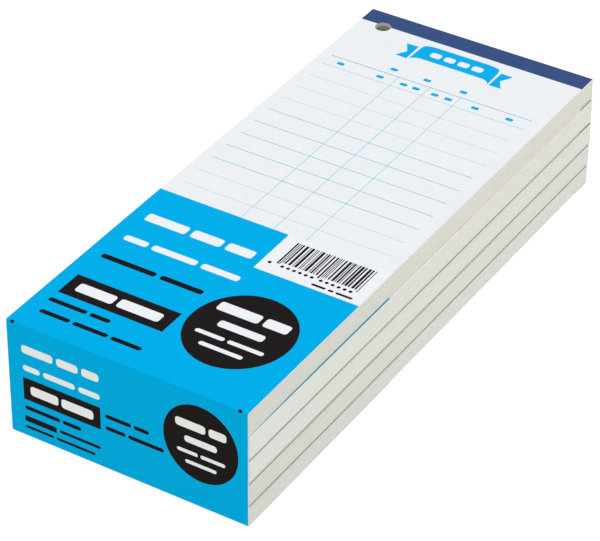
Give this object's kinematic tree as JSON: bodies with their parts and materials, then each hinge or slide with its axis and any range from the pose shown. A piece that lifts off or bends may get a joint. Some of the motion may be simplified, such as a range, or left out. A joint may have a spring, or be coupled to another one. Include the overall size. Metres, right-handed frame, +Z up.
{
  "type": "guest check pad pack",
  "caption": "Stacked pack of tape-bound guest check pads with perforated ruled sheets, backing boards and a punched hanging hole, held by a printed wrap folded over one end.",
  "frame": {"origin": "middle of the pack's box in X and Y, on the wrap's underside, where it lies on a table", "axes": "+Z up through the stack, +Y from the wrapped near end to the bound far end, X across the pads"},
  "size_m": [0.0754, 0.1884, 0.0371],
  "materials": {
    "sheets": "uncoated cut paper edges",
    "form_sheet": "uncoated white paper with pale blue rules",
    "board": "grey chipboard",
    "tape": "dark blue binding tape, satin",
    "staple": "galvanised wire",
    "wrap": "printed, slightly glossy"
  },
  "bodies": {
    "pad_1": {"pad1_sheet_block": "sheets", "pad1_backing_board": "board", "pad1_binding_tape": "tape", "pad1_staple_left": "staple", "pad1_staple_right": "staple"},
    "pad_2": {"pad2_sheet_block": "sheets", "pad2_backing_board": "board", "pad2_binding_tape": "tape", "pad2_staple_left": "staple", "pad2_staple_right": "staple", "pad2_order_form": "form_sheet", "pad2_bill_slip": "form_sheet"},
    "pad_3": {"pad3_sheet_block": "sheets", "pad3_backing_board": "board", "pad3_binding_tape": "tape", "pad3_staple_left": "staple", "pad3_staple_right": "staple", "pad3_order_form": "form_sheet", "pad3_bill_slip": "form_sheet"},
    "pad_4": {"pad4_sheet_block": "sheets", "pad4_backing_board": "board", "pad4_binding_tape": "tape", "pad4_staple_left": "staple", "pad4_staple_right": "staple", "pad4_order_form": "form_sheet", "pad4_bill_slip": "form_sheet"},
    "pad_5": {"pad5_sheet_block": "sheets", "pad5_backing_board": "board", "pad5_binding_tape": "tape", "pad5_staple_left": "staple", "pad5_staple_right": "staple", "pad5_order_form": "form_sheet", "pad5_bill_slip": "form_sheet"},
    "order_form": {"pad1_order_form": "form_sheet"},
    "bill_slip": {"pad1_bill_slip": "form_sheet"},
    "wrap": {"wrap_band": "wrap"}
  },
  "joints": [
    {"name": "pad_1_pull", "type": "slide", "parent": "pad_5", "child": "pad_1", "axis": [0, 1, 0], "range_m": [0, 0.19]},
    {"name": "pad_2_pull", "type": "slide", "parent": "pad_5", "child": "pad_2", "axis": [0, 1, 0], "range_m": [0, 0.19]},
    {"name": "pad_3_pull", "type": "slide", "parent": "pad_5", "child": "pad_3", "axis": [0, 1, 0], "range_m": [0, 0.19]},
    {"name": "pad_4_pull", "type": "slide", "parent": "pad_5", "child": "pad_4", "axis": [0, 1, 0], "range_m": [0, 0.19]},
    {"name": "wrap_pull_off", "type": "slide", "parent": "pad_5", "child": "wrap", "axis": [0, -1, 0], "range_m": [0, 0.08]},
    {"name": "order_form_flip", "type": "hinge", "parent": "pad_1", "child": "order_form", "pos_m": [-0.0002, 0.08542, 0.03689], "axis": [-1, 0, 0], "range_deg": [0, 170]},
    {"name": "bill_slip_tear_off", "type": "slide", "parent": "pad_1", "child": "bill_slip", "axis": [1, 0, 0], "range_m": [0, 0.08]}
  ]
}
